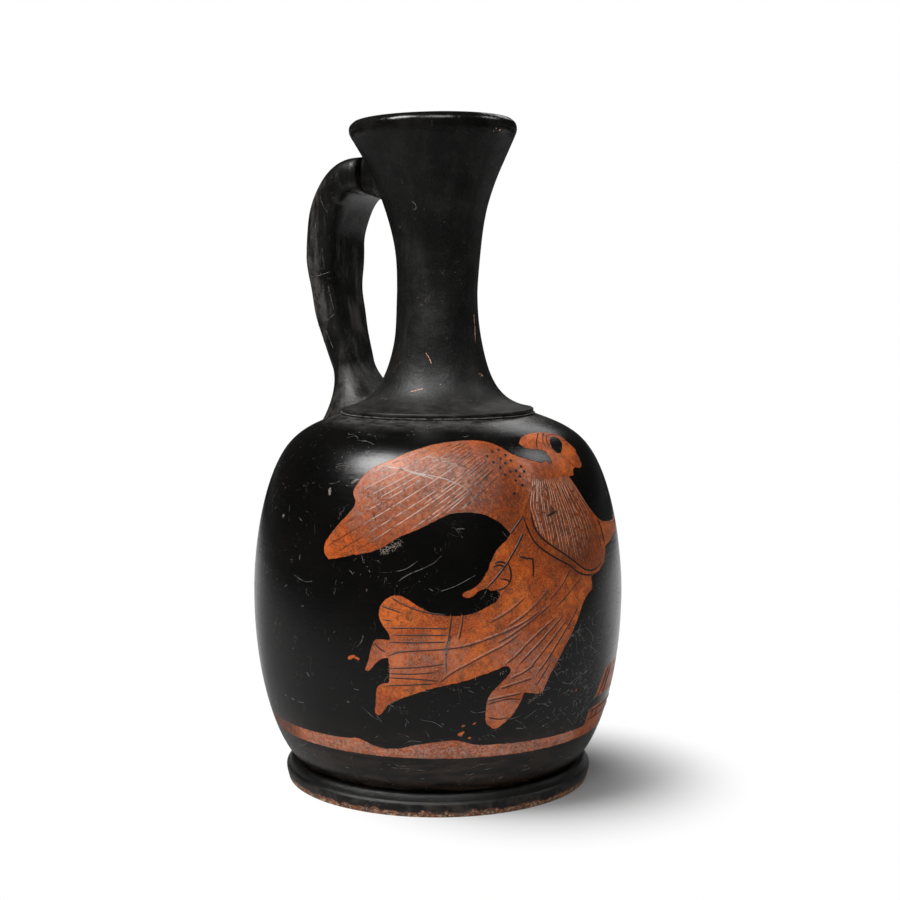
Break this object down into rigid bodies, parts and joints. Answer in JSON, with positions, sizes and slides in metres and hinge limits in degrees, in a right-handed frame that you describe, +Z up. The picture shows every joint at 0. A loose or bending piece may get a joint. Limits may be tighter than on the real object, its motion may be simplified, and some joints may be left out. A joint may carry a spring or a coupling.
{
  "type": "squat lekythos",
  "caption": "Squat lekythos: broad low clay oil flask with ring foot, narrow neck, trumpet mouth and one strap handle, black gloss with a reserved orange figure.",
  "frame": {"origin": "on the vessel's axis at the plane the foot rests on", "axes": "+Z up the vessel's axis, -X towards the handle, +X the front opposite the handle"},
  "size_m": [0.085, 0.085, 0.1505],
  "materials": {
    "black_gloss": "semi-gloss black slip with worn patches",
    "black_gloss_and_clay": "semi-gloss black slip round a picture reserved in orange clay",
    "bare_clay": "matt fired clay"
  },
  "bodies": {
    "root": {"foot": "black_gloss", "foot_luting": "bare_clay", "body": "black_gloss_and_clay", "neck_luting": "bare_clay", "neck": "black_gloss", "handle": "black_gloss", "handle_upper_luting": "black_gloss", "handle_lower_luting": "black_gloss"}
  },
  "joints": []
}
